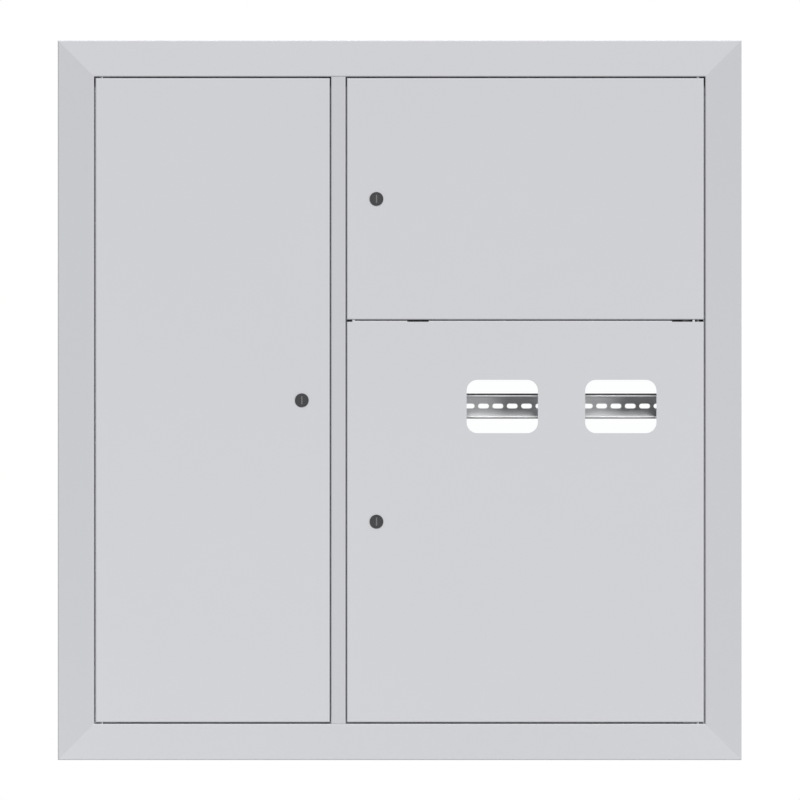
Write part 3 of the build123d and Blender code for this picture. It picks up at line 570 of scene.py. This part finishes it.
def make_screw_tree(name, grooves):
    """Screws with their heads on the given places, each turned by chance."""
    tree, given, result = group_tree(
        name,
        "GeometryNodeTree",
        [
            places_input,
            size_input("Head Radius", screw_head_radius),
            size_input("Head Height", screw_head),
            size_input("Shank Radius", screw_shank_radius),
            size_input("Shank Length", 6.0 * mm),
            size_input("Pitch", 0.8 * mm),
            size_input("Thread Depth", 0.4 * mm),
            size_input("Groove Length", 5.4 * mm),
            size_input("Groove Width", 1.1 * mm),
            size_input("Groove Depth", 1.6 * mm),
            material_input,
        ],
        mesh_output,
    )
    screw = together(tree, domed_head(tree, given, grooves), threaded_shank(tree, given))
    any_turn = xyz(tree, z=chance(tree, low=0.0, high=math.tau, seed=7))
    spin = add(tree, "FunctionNodeEulerToRotation", None, {0: any_turn}).outputs[0]
    end_tree(tree, given, result, given["Places"], screw, facing(tree, spin))
    return tree


def make_thread_tree():
    """Thread: a helical ridge on a bar about Z, flattened where the bar has flats."""
    tree, given, result = group_tree(
        "Thread ridge",
        "GeometryNodeTree",
        [
            places_input,
            size_input("Radius", stud_radius),
            size_input("Half Width", stud_radius),
            size_input("Length", stud_length),
            size_input("Pitch", 1.0 * mm),
            size_input("Ridge", 0.3 * mm),
            material_input,
        ],
        mesh_output,
    )
    inputs = {
        "Resolution": 36,
        "Rotations": calc(tree, "DIVIDE", given["Length"], given["Pitch"]),
        "Start Radius": given["Radius"],
        "End Radius": given["Radius"],
        "Height": given["Length"],
    }
    helix = add(tree, "GeometryNodeCurveSpiral", None, inputs).outputs[0]
    inputs = {"Resolution": 4, "Radius": given["Ridge"]}
    section = add(tree, "GeometryNodeCurvePrimitiveCircle", {"mode": "RADIUS"}, inputs).outputs[0]
    inputs = {"Curve": helix, "Profile Curve": section, "Fill Caps": True}
    ridge = add(tree, "GeometryNodeCurveToMesh", None, inputs).outputs[0]
    x, y, z = point_parts(tree)
    other_flat = calc(tree, "MULTIPLY", given["Half Width"], -1.0)
    flattened = calc(tree, "MAXIMUM", calc(tree, "MINIMUM", x, given["Half Width"]), other_flat)
    thread = reshaped(tree, ridge, xyz(tree, flattened, y, z))
    end_tree(tree, given, result, given["Places"], thread, facing(tree))
    return tree


def make_nut_tree():
    """Hexagon nut with bevelled corners on a washer, at the foot of a stud."""
    tree, given, result = group_tree(
        "Nut and washer",
        "GeometryNodeTree",
        [
            places_input,
            size_input("Across Flats", 10.0 * mm),
            size_input("Nut Height", 5.0 * mm),
            size_input("Washer Radius", 6.2 * mm),
            size_input("Washer Thickness", 1.6 * mm),
            material_input,
        ],
        mesh_output,
    )
    bevel_reach = 0.66  # radius of the ball that trims the corners, as a share of the flats
    bevel_rise = 0.766  # its half height, as a share of the nut's height
    corner = calc(tree, "DIVIDE", given["Across Flats"], math.sqrt(3.0))
    trim_radius = calc(tree, "MULTIPLY", given["Across Flats"], bevel_reach)
    trim_height = calc(tree, "MULTIPLY", given["Nut Height"], bevel_rise)
    trim_size = xyz(tree, trim_radius, trim_radius, trim_height)
    trim_ball = moved(tree, ball(tree, segments=32, rings=24), scale=trim_size)
    bevelled = add(tree, "GeometryNodeMeshBoolean", {"operation": "INTERSECT"})
    for shape in (cylinder(tree, 6, corner, given["Nut Height"]), trim_ball):
        tree.links.new(shape, bevelled.inputs["Mesh 2"])
    half_washer = calc(tree, "MULTIPLY", given["Washer Thickness"], 0.5)
    washer = cylinder(tree, 36, given["Washer Radius"], given["Washer Thickness"])
    washer = moved(tree, washer, xyz(tree, z=half_washer))
    nut_z = calc(tree, "MULTIPLY_ADD", given["Nut Height"], 0.5, given["Washer Thickness"])
    nut = moved(tree, bevelled.outputs["Mesh"], xyz(tree, z=nut_z))
    end_tree(tree, given, result, given["Places"], together(tree, washer, nut), facing(tree))
    return tree


def make_bead_tree():
    """Weld bead: overlapping scales along each edge of the given mesh."""
    tree, given, result = group_tree(
        "Weld bead",
        "GeometryNodeTree",
        [
            places_input,
            size_input("Width", 3.4 * mm),
            size_input("Height", 1.0 * mm),
            size_input("Ripple", 1.3 * mm),
            material_input,
        ],
        mesh_output,
    )
    line = add(tree, "GeometryNodeMeshToCurve", None, {"Mesh": given["Places"]}).outputs[0]
    inputs = {"Curve": line, "Length": given["Ripple"]}
    steps = add(tree, "GeometryNodeResampleCurve", {"mode": "LENGTH"}, inputs).outputs[0]
    points = add(tree, "GeometryNodeCurveToPoints", {"mode": "EVALUATED"}, {"Curve": steps}).outputs[0]
    uneven = chance(tree, low=0.86, high=1.12, seed=3)
    half_width = calc(tree, "MULTIPLY", calc(tree, "MULTIPLY", given["Width"], 0.5), uneven)
    height = calc(tree, "MULTIPLY", given["Height"], uneven)
    scale = xyz(tree, half_width, half_width, height)
    end_tree(tree, given, result, points, ball(tree, segments=10, rings=6), facing(tree), scale)
    return tree


def make_spot_tree():
    """Spot weld: a shallow crater with a raised ring at each place."""
    tree, given, result = group_tree(
        "Spot weld",
        "GeometryNodeTree",
        [
            places_input,
            size_input("Radius", 3.0 * mm),
            size_input("Height", 0.22 * mm),
            material_input,
        ],
        mesh_output,
    )
    outward = 1.5  # power that moves the ring from half way towards the rim
    inputs = {
        "Vertices": 24,
        "Fill Segments": 7,
        "Radius": given["Radius"],
        "Depth": calc(tree, "MULTIPLY", given["Height"], 2.0),
    }
    disc = add(tree, "GeometryNodeMeshCylinder", {"fill_type": "TRIANGLE_FAN"}, inputs).outputs["Mesh"]
    x, y, z = point_parts(tree)
    reach = add(tree, "ShaderNodeVectorMath", {"operation": "LENGTH"}, {0: xyz(tree, x, y)}).outputs["Value"]
    share = calc(tree, "POWER", calc(tree, "DIVIDE", reach, given["Radius"]), outward)
    wave = calc(tree, "SINE", calc(tree, "MULTIPLY", share, math.pi))
    ring = calc(tree, "MULTIPLY", wave, given["Height"])
    above = calc(tree, "GREATER_THAN", z, 0.0)
    sunk = calc(tree, "MULTIPLY", calc(tree, "SUBTRACT", 1.0, above), z)
    top = calc(tree, "MULTIPLY_ADD", above, ring, sunk)
    spot = reshaped(tree, disc, xyz(tree, x, y, top))
    end_tree(tree, given, result, given["Places"], spot, facing(tree))
    return tree


cross_screw = make_screw_tree("Cross-recess screw", grooves=2)
slotted_screw = make_screw_tree("Slotted screw", grooves=1)
thread_ridge = make_thread_tree()
nut_and_washer = make_nut_tree()
weld_bead = make_bead_tree()
spot_weld = make_spot_tree()


def place_mesh(name, points, aims, edges=()):
    """Mesh of places, with the way that each one faces."""
    mesh = bpy.data.meshes.new(name)
    mesh.from_pydata(points, edges, [])
    attribute = mesh.attributes.new("aim", "FLOAT_VECTOR", "POINT")
    for item, aim in zip(attribute.data, aims):
        item.vector = aim
    return mesh


def grown(name, tree, places, sizes, material):
    """Plain mesh that a tree grows from a mesh of places."""
    seedling = bpy.data.objects.new(name, places)
    bpy.context.scene.collection.objects.link(seedling)
    modifier = seedling.modifiers.new("Grow", "NODES")
    modifier.node_group = tree
    for item in tree.interface.items_tree:
        if item.in_out == "INPUT" and item.name in sizes:
            modifier[item.identifier] = sizes[item.name]
        if item.name == "Material":
            modifier[item.identifier] = material
    evaluated = seedling.evaluated_get(bpy.context.evaluated_depsgraph_get())
    mesh = bpy.data.meshes.new_from_object(evaluated)
    bpy.data.objects.remove(seedling)
    mesh.set_sharp_from_angle(angle=smooth_below)
    return mesh


def piece(name, meshes, body, material, stands_for=()):
    """One piece of the object from plain meshes, riding on a body."""
    form = bmesh.new()
    for mesh in meshes:
        form.from_mesh(mesh)
    joined = bpy.data.meshes.new(name)
    form.to_mesh(joined)
    form.free()
    joined.materials.clear()
    joined.materials.append(material)
    for polygon in joined.polygons:
        polygon.material_index = 0
    made = bpy.data.objects.new(name, joined)
    bpy.context.scene.collection.objects.link(made)
    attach(made, body)
    if stands_for:
        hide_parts(*stands_for)


# Screws

bright = finishes["steel"]
terminal_sizes = {
    "Head Radius": terminal_head_radius,
    "Head Height": terminal_head,
    "Shank Radius": terminal_shank_radius,
    "Pitch": 0.7 * mm,
    "Groove Length": 3.0 * terminal_head_radius,  # right across the head
    "Groove Width": 0.9 * mm,
    "Groove Depth": 1.1 * mm,
}


def solids_of(node):
    """Points of each solid in a node, in the order of its mesh."""
    form = bmesh.new()
    form.from_mesh(parts[node].data)
    bmesh.ops.remove_doubles(form, verts=form.verts, dist=0.001 * mm)
    seen = set()
    solids = []
    for first in form.verts:
        if first in seen:
            continue
        seen.add(first)
        found = [first]
        for vertex in found:
            near = {edge.other_vert(vertex) for edge in vertex.link_edges} - seen
            seen |= near
            found += near
        solids.append([vertex.co.copy() for vertex in found])
    form.free()
    return solids


def screw_seat(points, head_height):
    """Seat, facing and shank length of a screw along X, Y or Z, from the points of its solid."""
    low = Vector(map(min, zip(*points)))
    high = Vector(map(max, zip(*points)))
    size = high - low
    middle = (low + high) / 2
    head_width = sorted(size)[1]
    end_band = 0.1 * mm
    axis = max(range(3), key=lambda index: abs(size[index] - head_width))

    def reach(end):
        """Squared radius of one end at its widest."""
        close = [point - middle for point in points if abs(point[axis] - end) < end_band]
        return max(point.length_squared - point[axis] ** 2 for point in close)

    aim = Vector((0.0, 0.0, 0.0))
    aim[axis] = -1.0 if reach(low[axis]) > reach(high[axis]) else 1.0
    seat = middle + aim * (size[axis] / 2 - head_height)
    return seat, aim, size[axis] - head_height


def make_screws(name, node, body, tree, head_height, sizes):
    """Detailed screws in place of a node's solids, grown in one go for each length."""
    by_length = {}
    for points in solids_of(node):
        seat, aim, length = screw_seat(points, head_height)
        by_length.setdefault(round(length, 5), []).append((seat, aim))
    meshes = []
    for length, seats in sorted(by_length.items()):
        places = place_mesh(node, [seat for seat, aim in seats], [aim for seat, aim in seats])
        meshes.append(grown(node, tree, places, {**sizes, "Shank Length": length}, bright))
    piece(name, meshes, body, bright, [node])


make_screws("cross_screws", "fixing_screws", "cabinet", cross_screw, screw_head, {})
make_screws(
    "slotted_terminal_screws", "terminal_screws", "cabinet", slotted_screw, terminal_head, terminal_sizes
)
for side in doors:
    make_screws(f"{side}_cam_screw", f"{side}_lock_screw", f"{side}_lock", cross_screw, screw_head, {})


# Locks: threads on the barrels and a dust shutter in each key slot


def make_barrel_thread(side, door):
    """Thread of a lock barrel, from its nut to its end."""
    low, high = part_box(f"{side}_lock_barrel")
    nut_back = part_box(f"{side}_lock_nut")[1].y
    start = ((low.x + high.x) / 2, nut_back, (low.z + high.z) / 2)
    sizes = {
        "Radius": barrel_radius - thread_sink,
        "Half Width": barrel_half_width - flat_sink,
        "Length": high.y - nut_back - barrel_end,
        "Pitch": 1.25 * mm,
        "Ridge": 0.35 * mm,
    }
    places = place_mesh(f"{side}_thread", [start], [back])
    mesh = grown(f"{side}_thread", thread_ridge, places, sizes, finishes["lock_body"])
    piece(f"{side}_lock_thread", [mesh], door, finishes["lock_body"])


def make_shutter(side):
    """Two bevelled leaves that close a key slot, above and below its middle."""
    low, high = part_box(f"{side}_lock_barrel")
    face_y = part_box(f"{side}_lock_plug")[0].y
    middle = (low + high) / 2
    middle.y = face_y + shutter_depth + shutter_thickness / 2
    form = bmesh.new()
    for way in (-1, 1):
        leaf = bmesh.ops.create_cube(form, size=1.0)["verts"]
        bmesh.ops.scale(form, vec=(shutter_width, shutter_thickness, shutter_length / 2), verts=leaf)
        bmesh.ops.translate(form, vec=middle + Vector((0.0, 0.0, way * shutter_length / 4)), verts=leaf)
    bmesh.ops.bevel(form, geom=form.edges[:], offset=shutter_edge, segments=2, affect="EDGES")
    mesh = bpy.data.meshes.new(f"{side}_shutter")
    form.to_mesh(mesh)
    form.free()
    piece(f"{side}_lock_shutter", [mesh], f"{side}_lock", shutter_steel)


for side, door in doors.items():
    make_barrel_thread(side, door)
    make_shutter(side)


# Earth studs: thread, nut and washer


def make_stud(side, door):
    """Thread on the weld stud inside a door, with its nut and washer."""
    low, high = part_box(door)
    stud_x = low.x + stud_inset if side == "left" else high.x - stud_inset
    foot = (stud_x, low.y + sheet, low.z + stud_rise)
    sizes = {
        "Radius": stud_radius - thread_sink,
        "Half Width": 2 * stud_radius,  # a stud has no flats
        "Length": stud_length - stud_end,
    }
    places = place_mesh(f"{door}_stud", [foot], [back])
    thread = grown(f"{door}_stud", thread_ridge, places, sizes, bright)
    places = place_mesh(f"{door}_nut", [foot], [back])
    nut = grown(f"{door}_nut", nut_and_washer, places, {}, bright)
    piece(f"{door}_earth_nut", [thread, nut], door, bright)


for side, door in doors.items():
    make_stud(side, door)


# Welds


def spaced(reach):
    """Even places from one end to the other, about a spot's pitch apart."""
    count = max(2, round(2 * reach / spot_pitch) + 1)
    return [2 * reach * index / (count - 1) - reach for index in range(count)]


def spot_places():
    """Spot welds that join the walls of the box to the trim, on the outside."""
    points = []
    aims = []
    side_low, side_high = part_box("wall_right")
    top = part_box("wall_top")[1].z
    row_y = (side_low.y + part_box("trim_right")[1].y) / 2
    for way in (-1.0, 1.0):
        for z in spaced(top - spot_margin):
            points.append((way * side_high.x, row_y, z))
            aims.append((way, 0.0, 0.0))
        for x in spaced(side_high.x - spot_margin):
            points.append((x, row_y, way * top))
            aims.append((0.0, 0.0, way))
    return place_mesh("wall_spots", points, aims)


def stitch_lines():
    """Stitches of the partition and the shelf, each with its two ends and the way it faces."""
    lines = []
    partition_low, partition_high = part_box("partition")
    shelf_low, shelf_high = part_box("shelf")
    for y in stitch_ys:
        ends = (y - stitch / 2, y + stitch / 2)
        for x, way in ((partition_low.x, -1.0), (partition_high.x, 1.0)):
            for z in (partition_low.z, partition_high.z):
                lines.append(([(x, end, z) for end in ends], (way, 0.0, -math.copysign(1.0, z))))
        for x, way in ((shelf_low.x, 1.0), (shelf_high.x, -1.0)):
            lines.append(([(x, end, shelf_high.z) for end in ends], (way, 0.0, 1.0)))
    return lines


def mitre_lines():
    """Beads on the mitres of the flange round the open back."""
    lines = []
    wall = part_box("wall_right")[1]
    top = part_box("wall_top")[1].z
    for across in (-1.0, 1.0):
        for upward in (-1.0, 1.0):
            inner = (across * (wall.x - wall_flange), wall.y, upward * (top - wall_flange))
            outer = (across * (wall.x - bead_margin), wall.y, upward * (top - bead_margin))
            lines.append(([inner, outer], (0.0, 1.0, 0.0)))
    return lines


def line_mesh(name, lines):
    """Mesh of separate edges, with the way that each one faces."""
    points = [point for line, aim in lines for point in line]
    aims = [aim for line, aim in lines for point in line]
    edges = [(index, index + 1) for index in range(0, len(points), 2)]
    return place_mesh(name, points, aims, edges)


weld_paint = finishes["box_paint"]
spots = grown("wall_spots", spot_weld, spot_places(), {}, weld_paint)
beads = grown("beads", weld_bead, line_mesh("beads", stitch_lines() + mitre_lines()), {}, weld_paint)
piece("box_welds", [spots, beads], "cabinet", weld_paint)


# Stage, light and camera

white = (1.0, 1.0, 1.0, 1.0)
floor_drop = 0.25  # floor below the board, out of the front view
floor_reach = 1.2
frame_width = 1.11136  # what the picture spans at the doors
lens = 600.0  # in millimetres, as is the sensor
sensor = 36.0
camera_aim = Vector((0.51 * mm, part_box("upper_door")[0].y, 0.28 * mm))


def seen_by_camera(tree):
    """1 for rays that the camera sees, also in metal and through glass, and 0 for the light on the board."""
    path = add(tree, "ShaderNodeLightPath").outputs
    seen = calc(tree, "MAXIMUM", path["Is Camera Ray"], path["Is Glossy Ray"])
    seen = calc(tree, "MAXIMUM", seen, path["Is Transmission Ray"])
    direct = calc(tree, "LESS_THAN", path["Diffuse Depth"], 0.5)
    return calc(tree, "MULTIPLY", seen, direct)


def make_floor(tone, seen_tone, clouding):
    """Floor that takes the board's shadow, paler to the camera than to the light, and clear from below."""
    z = cad_box[0].z - floor_drop
    reach = [(x * floor_reach, y * floor_reach, z) for x, y in ((-1, -1), (1, -1), (1, 1), (-1, 1))]
    mesh = bpy.data.meshes.new("floor")
    mesh.from_pydata(reach, [], [(0, 1, 2, 3)])
    floor = bpy.data.objects.new("floor", mesh)
    bpy.context.scene.collection.objects.link(floor)
    material, tree, shader = new_material("Pale floor")
    plain = remap(tree, seen_by_camera(tree), tone, seen_tone)
    cloud = noise(tree, object_place(tree), scale=4.0)
    shade = calc(tree, "MULTIPLY_ADD", cloud, clouding, plain)
    tree.links.new(shade, shader["Base Color"])
    shader["Roughness"].default_value = 0.8
    below = add(tree, "ShaderNodeNewGeometry").outputs["Backfacing"]
    clear = add(tree, "ShaderNodeBsdfTransparent").outputs[0]
    pale = tree.nodes["Principled BSDF"].outputs[0]
    mix = add(tree, "ShaderNodeMixShader", None, {0: below, 1: pale, 2: clear})
    tree.links.new(mix.outputs[0], tree.nodes["Material Output"].inputs["Surface"])
    mesh.materials.append(material)


def make_world(fill):
    """White surroundings to the camera, also in metal and glass, and an even fill for everything else."""
    world = bpy.data.worlds.new("Studio")
    bpy.context.scene.world = world
    world.use_nodes = True
    tree = world.node_tree
    tree.nodes.clear()
    inputs = {"Color": white, "Strength": remap(tree, seen_by_camera(tree), fill, 1.0)}
    background = add(tree, "ShaderNodeBackground", None, inputs).outputs[0]
    add(tree, "ShaderNodeOutputWorld", None, {"Surface": background})


def far_lamp(name, azimuth, elevation, softness, share):
    """Far lamp for a share of full light on the front or back. Azimuth 0 is in front, 90 to the right."""
    data = bpy.data.lights.new(name, "SUN")
    slant = math.cos(math.radians(azimuth)) * math.cos(math.radians(elevation))
    data.energy = share * math.pi / abs(slant)
    data.angle = math.radians(softness)
    lamp = bpy.data.objects.new(name, data)
    lamp.rotation_euler = (math.radians(90.0 - elevation), 0.0, math.radians(azimuth))
    bpy.context.scene.collection.objects.link(lamp)


def make_camera():
    """Long lens straight in front of the doors."""
    data = bpy.data.cameras.new("camera")
    data.lens = lens
    data.sensor_width = sensor
    data.clip_end = 100.0
    camera = bpy.data.objects.new("camera", data)
    camera.location = camera_aim - back * (frame_width * lens / sensor)
    camera.rotation_euler = (math.radians(90.0), 0.0, 0.0)
    bpy.context.scene.collection.objects.link(camera)
    bpy.context.scene.camera = camera


make_floor(tone=0.35, seen_tone=0.88, clouding=0.04)
make_world(fill=0.2)
far_lamp("Key", azimuth=2.0, elevation=32.0, softness=8.0, share=0.49)
far_lamp("Side lamp", azimuth=37.0, elevation=4.0, softness=16.0, share=0.26)
far_lamp("Back lamp", azimuth=206.0, elevation=58.0, softness=50.0, share=0.4)
make_camera()
bpy.context.scene.view_settings.view_transform = "Standard"
